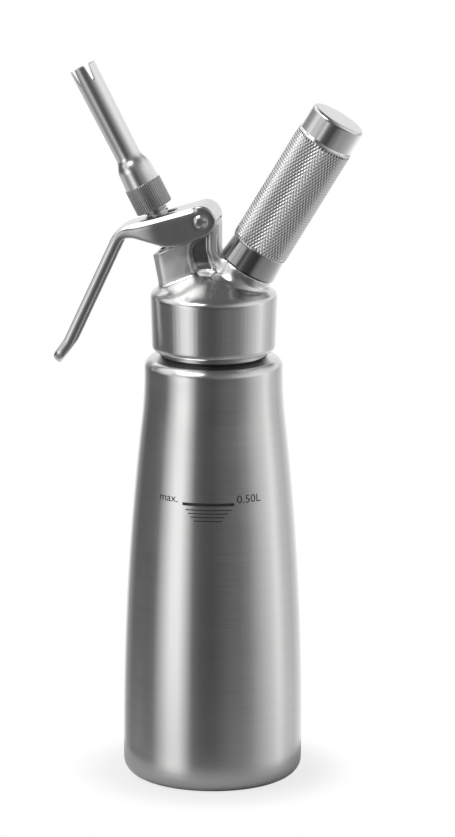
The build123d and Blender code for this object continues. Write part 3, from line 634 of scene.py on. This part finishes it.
def pressing_pull(spot):
    """Rounds the bends, lets the cheeks hang fuller in front of the pivot and draws in the arm."""
    from_pivot = spot - pivot
    along = from_pivot.dot(lever_way)
    below = -from_pivot.dot(lever_up)
    wide = abs(spot.y) - lever_half_width + bend_radius
    high = bend_radius - lever_plate_rise - below
    bent = ease(0.0, 2.0, along) * (1 - ease(26.0, 34.0, along))
    if wide > 0 and high > 0 and bent > 0:
        shrink = (1 - max(wide, high) / math.hypot(wide, high)) * bent
        spot = spot - lever_up * high * shrink - Vector((0, math.copysign(wide * shrink, spot.y), 0))
    full = ease(-4.0, 10.0, along) * (1 - ease(10.0, 21.0, along))
    full *= ease(1.0, 7.0, below) * ease(7.5, 8.3, abs(spot.y))
    spot = spot - lever_up * cheek_fullness * full
    narrow = 1 - arm_narrowing / lever_half_width * ease(19.0, 37.0, along)
    return Vector((spot.x, spot.y * narrow, spot.z))


def relief_plug(side):
    """Metal that fills the slit beside the tongue, where the bend is hammered shut."""
    work = bmesh.new()
    bmesh.ops.create_cube(work, size=1.0)
    for corner in work.verts:
        along = corner.co.x * lever_sheet
        across = side * (lever_half_width - lever_sheet / 2 + corner.co.y * lever_sheet)
        rise = lever_plate_rise - lever_sheet / 2 + corner.co.z * plug_height
        corner.co = (pivot + Vector((0, across, 0)) + lever_way * along + lever_up * rise) * mm
    bmesh.ops.recalc_face_normals(work, faces=work.faces)
    return mesh_of("plug", work)


plugs = [relief_plug(side) for side in (-1, 1)]
lever = softened("lever_pressing", "lever", "lever", 0.3, 60, pressing_pull, pressing_wear, plugs)
polished_lever = metal(
    "polished_lever", pale=(0.69, 0.69, 0.685), dark=(0.6, 0.6, 0.595), gloss=0.2,
    grain=(150, 1200, 150), depth=0.00001
)
dress(lever, polished_lever)

# Pivot
# Sleeve nut through the lug and the dome-headed screw with a hexagon recess in it,
# both turned from stainless bar and polished like the lever.
for name in ("pivot_barrel", "pivot_screw"):
    dress(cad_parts[name], polished_lever)

# Nozzle
# Turned from stainless bar: a foot with a straight knurl and a thread inside, a round
# shoulder and a thin tube whose end is slotted into five petals.
nozzle_place = Matrix.Translation(valve_foot) @ Matrix.Rotation(-valve_tilt, 4, "Y")
nozzle_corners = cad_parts["nozzle"].data.vertices
foot_length = 11.6
body_length = 5.8
shoulder_length = 7.5
thread_length = 9.0
flare_length = 9.0
foot_start = min(from_axis(corner.co / mm, valve_base, valve_way)[0] for corner in nozzle_corners)
tip = max(from_axis(corner.co / mm, valve_base, valve_way)[0] for corner in nozzle_corners)
foot_end = foot_start + foot_length
body_end = foot_end + body_length
tube_start = body_end + shoulder_length
thread_end = foot_start + thread_length
foot_edge_radius = 7.4
foot_top_radius = 7.6
ridge_radius = 7.95
body_radius = 7.55
shoulder_radius = 7.2
tube_radius = 5.3
tip_radius = 5.65
thread_radius = 5.3
tube_bore = 4.5
tip_bore = 5.1
ridge_count = 50
ridge_columns = 4
shoulder_foot = Vector((shoulder_radius, body_end))
shoulder_top = Vector((tube_radius, tube_start))
shoulder_middle = tuple(shoulder_foot.lerp(shoulder_top, 0.62))
tube_end = Vector((tip_radius, tip))
petals = 5
first_slot = 32
slot_depth = 7.0
slot_half_foot = 0.65
slot_half_mouth = 1.3
slot_over = 0.65
slot_reach = (2.0, 8.0)


def straight_knurl(column):
    """Fifty ridges with a narrow groove between each two, as deep as the body's skin."""
    return body_radius if column % ridge_columns == 0 else ridge_radius


foot = [(thread_radius, foot_start), (foot_edge_radius, foot_start), (body_radius, foot_start + 0.1)]
foot += [(straight_knurl, foot_start + 0.5), (straight_knurl, foot_end - 0.35)]
foot += [(foot_top_radius, foot_end), (body_radius, foot_end)]
shoulder = [tuple(shoulder_foot)] + arc(shoulder_foot, shoulder_middle, (0, 1), 8)
shoulder += arc(shoulder_top, shoulder_middle, (0, -1), 5)[-2::-1] + [tuple(shoulder_top)]
tube = [tuple(shoulder_top.lerp(tube_end, step / 8)) for step in range(1, 9)]
bore = [(tip_bore, tip), (tube_bore, tip - flare_length), (tube_bore, thread_end)]
bore += [(thread_radius, thread_end), (thread_radius, foot_start)]
nozzle_rows = foot + shoulder + tube + bore
nozzle = turned("nozzle_turned", nozzle_rows, ridge_count * ridge_columns, "nozzle", nozzle_place)
slot_foot = slot_over - slot_depth
slot_side = [(-slot_half_foot, slot_foot), (-slot_half_mouth, slot_over)]
slot_side += [(slot_half_mouth, slot_over), (slot_half_foot, slot_foot)]
for step in range(1, 8):
    turn = step * math.pi / 8
    slot_side.append((slot_half_foot * math.cos(turn), slot_foot - slot_half_foot * math.sin(turn)))
saw = bmesh.new()
for petal in range(petals):
    turn = math.radians(first_slot + 360 / petals * petal)
    outward = Vector((math.sin(turn), -math.cos(turn), 0))
    sideways = Vector((math.cos(turn), math.sin(turn), 0))
    rims = []
    for reach in slot_reach:
        rim = []
        for across, rise in slot_side:
            spot = outward * reach + sideways * across + Vector((0, 0, tip + rise))
            rim.append(saw.verts.new(spot * mm))
        rims.append(rim)
    saw.faces.new(rims[0])
    saw.faces.new(rims[1][::-1])
    for corner in range(len(slot_side)):
        after = (corner + 1) % len(slot_side)
        saw.faces.new((rims[0][corner], rims[1][corner], rims[1][after], rims[0][after]))
bmesh.ops.recalc_face_normals(saw, faces=saw.faces)
cutter = put("slots", mesh_of("slots", saw), nozzle_place)
cut = nozzle.modifiers.new("slots", "BOOLEAN")
cut.operation = "DIFFERENCE"
cut.solver = "EXACT"
cut.object = cutter
slotted = baked(nozzle)
nozzle.modifiers.clear()
nozzle.data = slotted
bpy.data.objects.remove(cutter)
round_off(slotted, edge_angle=28)
drawn_tube = metal(
    "drawn_tube", pale=(0.8, 0.8, 0.795), dark=(0.68, 0.68, 0.675), gloss=0.24,
    grain=(2600, 2600, 40), depth=0.00002
)
knurled_foot = metal(
    "knurled_foot", pale=(0.56, 0.56, 0.555), dark=(0.42, 0.42, 0.415), gloss=0.42,
    grain=(900, 900, 200), depth=0.00002
)
dress(nozzle, drawn_tube, knurled_foot)
for face in slotted.polygons:
    face.material_index = int(face.center.z < (foot_end + 0.05) * mm)
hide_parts("nozzle")

# Charger holder
# Stainless sleeve turned from bar, with a plain cone collar, a rolled diamond knurl and
# a plain polished end; it screws on to the head's boss over the bulb.
holder_place = Matrix.Translation(charger_base * mm) @ Matrix.Rotation(charger_tilt, 4, "Y")
holder_start = 28.1
collar_end = 37.8
knurl_start = 38.2
holder_thread_end = 40.4
knurl_end = 90.8
holder_end = 102.8
end_radius = 11.85
end_round = 1.5
end_foot = holder_end - end_round
sleeve_bore = 9.3
thread_bore = 10.4
knurl_columns = 112
knurl_rows = 42
knurl_core = 11.95
knurl_groove = 12.24
knurl_top = 12.48
diamond_top = 0.15
sleeve = [(thread_bore, holder_start), (12.3, holder_start), (12.5, 28.3), (11.9, 37.5), (12.35, 38.0)]
sleeve += [(12.35, knurl_start), (knurl_core, 38.3), (knurl_core, knurl_end), (12.4, 90.9)]
sleeve += [(knurl_top, 91.1), (12.4, 91.4), (knurl_core, 91.9), (end_radius, 92.1), (end_radius, 92.3)]
sleeve += [(end_radius, end_foot - 0.2), (end_radius, end_foot)]
sleeve += arc((end_radius, end_foot), (end_radius - end_round, holder_end), (0, 1), 8)
sleeve += [(6.0, holder_end), (0.0, holder_end), (0.0, end_foot), (sleeve_bore, end_foot)]
sleeve += [(sleeve_bore, holder_thread_end), (thread_bore, holder_thread_end), (thread_bore, holder_start)]
holder = turned("holder_sleeve", sleeve, knurl_columns, "charger_holder", holder_place)
polished_round = metal(
    "polished_round", pale=(0.69, 0.69, 0.685), dark=(0.6, 0.6, 0.595), gloss=0.14,
    grain=(60, 60, 3000), depth=0.00001
)
# Painted shade: the collar gets a darker steel colour than the rest of the sleeve, for the dark where the
# lever and the lug shade it; its low roughness is a real polish.
collar_polish_and_painted_shade = metal(
    "collar_polish_and_painted_shade", pale=(0.5, 0.5, 0.495), dark=(0.4, 0.4, 0.395), gloss=0.1,
    grain=(60, 60, 3000), depth=0.00001
)
dress(holder, polished_round, collar_polish_and_painted_shade)
for face in holder.data.polygons:
    face.material_index = int(face.center.z < collar_end * mm)
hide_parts("charger_holder")


def knurl_spot(column, row, radius):
    """A point of the knurl, in half steps round the sleeve and along it."""
    angle = 2 * math.pi * column / knurl_columns
    height = knurl_start + (knurl_end - knurl_start) * row / knurl_rows
    return Vector((radius * math.cos(angle), radius * math.sin(angle), height)) * mm


rolling = bmesh.new()
crossings = {}
for row in range(1, knurl_rows):
    for column in range(row % 2, knurl_columns, 2):
        groove, crown = [], []
        for across, along in ((-1, 0), (0, -1), (1, 0), (0, 1)):
            key = ((column + across) % knurl_columns, row + along)
            if key not in crossings:
                crossings[key] = rolling.verts.new(knurl_spot(*key, knurl_groove))
            groove.append(crossings[key])
            spot = knurl_spot(column + across * diamond_top, row + along * diamond_top, knurl_top)
            crown.append(rolling.verts.new(spot))
        rolling.faces.new(crown)
        for corner in range(4):
            after = (corner + 1) % 4
            rolling.faces.new((groove[corner], groove[after], crown[after], crown[corner]))
bmesh.ops.recalc_face_normals(rolling, faces=rolling.faces)
knurl = put("holder_knurl", mesh_of("holder_knurl", rolling), holder_place)
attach(knurl, "charger_holder")
rolled_knurl = metal(
    "rolled_knurl", pale=(0.72, 0.72, 0.715), dark=(0.62, 0.62, 0.615), gloss=0.2,
    grain=(300, 300, 900), depth=0.00001
)
dress(knurl, rolled_knurl)

# Gas bulb and what it presses on
# Drawn steel bulb, plated, in the holder; its neck seals on a rubber ring round the
# ground pin of the brass insert in the boss.
bulb_plating = metal(
    "bulb_plating", pale=(0.66, 0.66, 0.68), dark=(0.5, 0.5, 0.52), gloss=0.25,
    grain=(700, 700, 700), depth=0.00003
)
brass = metal(
    "brass", pale=(0.78, 0.6, 0.3), dark=(0.62, 0.45, 0.2), gloss=0.28,
    grain=(12, 12, 3600), depth=0.00003
)
for name, finish in (("charger", bulb_plating), ("pin_holder", brass), ("piercing_pin", lathe_cut)):
    dress(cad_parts[name], finish)

# Smooth skins
# The nodes that stay as the CAD made them are shaded round, except at their real edges,
# so that a turned piece looks turned.
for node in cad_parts.values():
    round_off(node.data, edge_angle=25)

# Table
# Pale matt table top with the object's shadow on it, white where it runs out of sight.
# Polished metal sees it white only at its rim.
table_radius = 0.066
nearest_white = 0.79
table_work = bmesh.new()
bmesh.ops.create_circle(table_work, cap_ends=True, segments=96, radius=table_radius)
table = put("table", mesh_of("table", table_work))
table_paint, table_shader, table_place = material("table_paint")
table_shader.inputs["Base Color"].default_value = (0.5, 0.5, 0.5, 1)
table_shader.inputs["Roughness"].default_value = 0.9
from_bottle = table_place.node("ShaderNodeVectorMath", {"operation": "LENGTH"}, {0: table_place}, "Value")
in_view = table_place.node("ShaderNodeLightPath", out="Is Camera Ray")
in_metal = table_place.node("ShaderNodeLightPath", out="Is Glossy Ray")
whitened = nearest_white + (1 - nearest_white) * from_bottle.fade(0.04, 0.064)
white_share = whitened * in_view + from_bottle.fade(0.06, 0.07) * in_metal
white = table_place.node("ShaderNodeEmission", {}, {"Strength": 1.0})
painted = Shade(table_place.tree, table_shader.outputs[0])
table_skin = table_place.node("ShaderNodeMixShader", {}, {0: white_share, 1: painted, 2: white})
table_skin.feed(table_paint.node_tree.nodes["Material Output"], "Surface")
dress(table, table_paint)

# Studio
# A light tent: white behind the object, a bright soft box on its left, a dimmer one on its
# right, a dark gap in front where the camera stands, and a soft light above on the left.
camera_turn = math.radians(9)
studio = bpy.data.worlds.new("studio")
bpy.context.scene.world = studio
studio.use_nodes = True
outlook = Shade(studio.node_tree).node("ShaderNodeTexCoord", out="Generated")


def towards(direction):
    """1 where the room lies in a direction, less away from it."""
    values = {0: outlook, 1: direction}
    return outlook.node("ShaderNodeVectorMath", {"operation": "DOT_PRODUCT"}, values, "Value")


front = towards((math.sin(camera_turn), -math.cos(camera_turn), 0))
right_hand = towards((math.cos(camera_turn), math.sin(camera_turn), 0))
up = outlook.node("ShaderNodeSeparateXYZ", {}, {0: outlook}, "Z")
bearing = outlook.maths("ARCTAN2", right_hand, front) / (2 * math.pi) + 0.5


def round_room(*lights):
    """Brightness by the angle round the room, from the camera's side, right being more."""
    stops = [(angle / 360 + 0.5, level) for angle, level in lights]
    return outlook.node("ShaderNodeValToRGB", {"stops": stops}, {"Fac": bearing})


def even_light(level):
    """The same white light all round."""
    return (level, level, level, 1)


level_walls = round_room(
    (-180, 1.0), (-150, 0.4), (-130, 0.13), (-95, 0.09), (-84, 0.15), (-72, 0.75), (-58, 1.5), (-46, 1.55),
    (-36, 0.85), (-27, 0.18), (-18, 0.1), (0, 0.065), (20, 0.11), (36, 0.12), (50, 0.23), (68, 0.6),
    (84, 0.9), (96, 1.2), (112, 0.77), (130, 0.62), (155, 0.9), (180, 1.0)
)
upper_walls = round_room(
    (-180, 0.9), (-160, 0.62), (-140, 0.34), (-120, 0.32), (-108, 0.6), (-97, 0.95), (-84, 1.1), (-72, 0.75),
    (-60, 0.38), (-45, 0.15), (-25, 0.1), (-10, 0.13), (7, 0.26), (26, 0.33), (46, 0.72), (67, 1.12),
    (88, 1.17), (110, 0.95), (130, 1.05), (160, 1.0), (180, 0.9)
)
high_walls = round_room(
    (-180, 0.9), (-160, 1.5), (-130, 1.3), (-50, 1.05), (-35, 0.5), (-15, 0.2), (20, 0.25), (50, 0.6),
    (90, 1.0), (125, 0.8), (145, 0.3), (160, 0.3), (180, 0.9)
)
ceiling = round_room(
    (-180, 0.2), (-165, 0.3), (-150, 1.2), (-130, 1.7), (-45, 1.8), (-30, 0.5), (-15, 0.2), (0, 0.15),
    (60, 0.3), (100, 0.6), (125, 0.5), (145, 0.12), (180, 0.2)
)
ground = round_room(
    (-180, 0.6), (-140, 0.62), (-115, 0.68), (-92, 0.36), (-70, 0.25), (-48, 0.3), (-28, 0.2), (-10, 0.15),
    (10, 0.23), (30, 0.4), (53, 0.43), (79, 0.54), (105, 0.68), (130, 0.95), (150, 1.2), (180, 0.9)
)
room = level_walls
for starts, ends, light in (
    (0.03, 0.14, upper_walls),
    (0.36, 0.48, high_walls),
    (0.7, 0.8, ceiling),
    (0.87, 0.94, even_light(0.15)),
    (-0.28, -0.37, ground),
    (-0.8, -0.92, even_light(0.9)),
):
    room = up.fade(starts, ends).tint(room, light)
for direction, edge, core, level in (
    ((-0.702, 0.4225, 0.574), 0.93, 0.985, 1.2),
    ((-0.4385, -0.4704, 0.766), 0.93, 0.97, 4.0),
):
    room = towards(direction).fade(edge, core).tint(room, even_light(level))
behind = front.fade(-0.85, -0.97)
mirrored = outlook.node("ShaderNodeLightPath", out="Is Glossy Ray")
seen = outlook.node("ShaderNodeLightPath", out="Is Camera Ray")
shown = (seen + mirrored * behind).tint(room, even_light(1.0))
shown.feed(studio.node_tree.nodes["Background"], "Color")

# Soft box
# A cloth-fronted lamp on the left, which adds to the bright side of the tent and points
# at the cap.
soft_box_aim = Vector((0, 0, 0.2))
soft_box = put("soft_box", bpy.data.lights.new("soft_box", "AREA"))
soft_box.data.size = 0.5
soft_box.data.energy = 0.3
soft_box.location = (-1.04, -0.98, 0.65)
soft_box.rotation_euler = (soft_box_aim - soft_box.location).to_track_quat("-Z", "Y").to_euler()

# Camera
# A long lens a little above the object and to its right, which looks down on it and is
# rolled by a fifth of a degree.
camera_dip = math.radians(90 - 12.93)
camera_aim = camera_turn - math.radians(0.167)
camera_roll = Matrix.Rotation(math.radians(0.2), 3, "Z")
camera = put("camera", bpy.data.cameras.new("camera"))
camera.location = (0.3172, -2.0025, 0.6201)
camera.rotation_euler = (camera_dip, 0, camera_aim)
camera.rotation_euler = (camera.rotation_euler.to_matrix() @ camera_roll).to_euler()
camera.data.lens = 211.5
camera.data.sensor_width = 36
camera.data.clip_end = 50
bpy.context.scene.camera = camera
bpy.context.scene.view_settings.view_transform = "Standard"
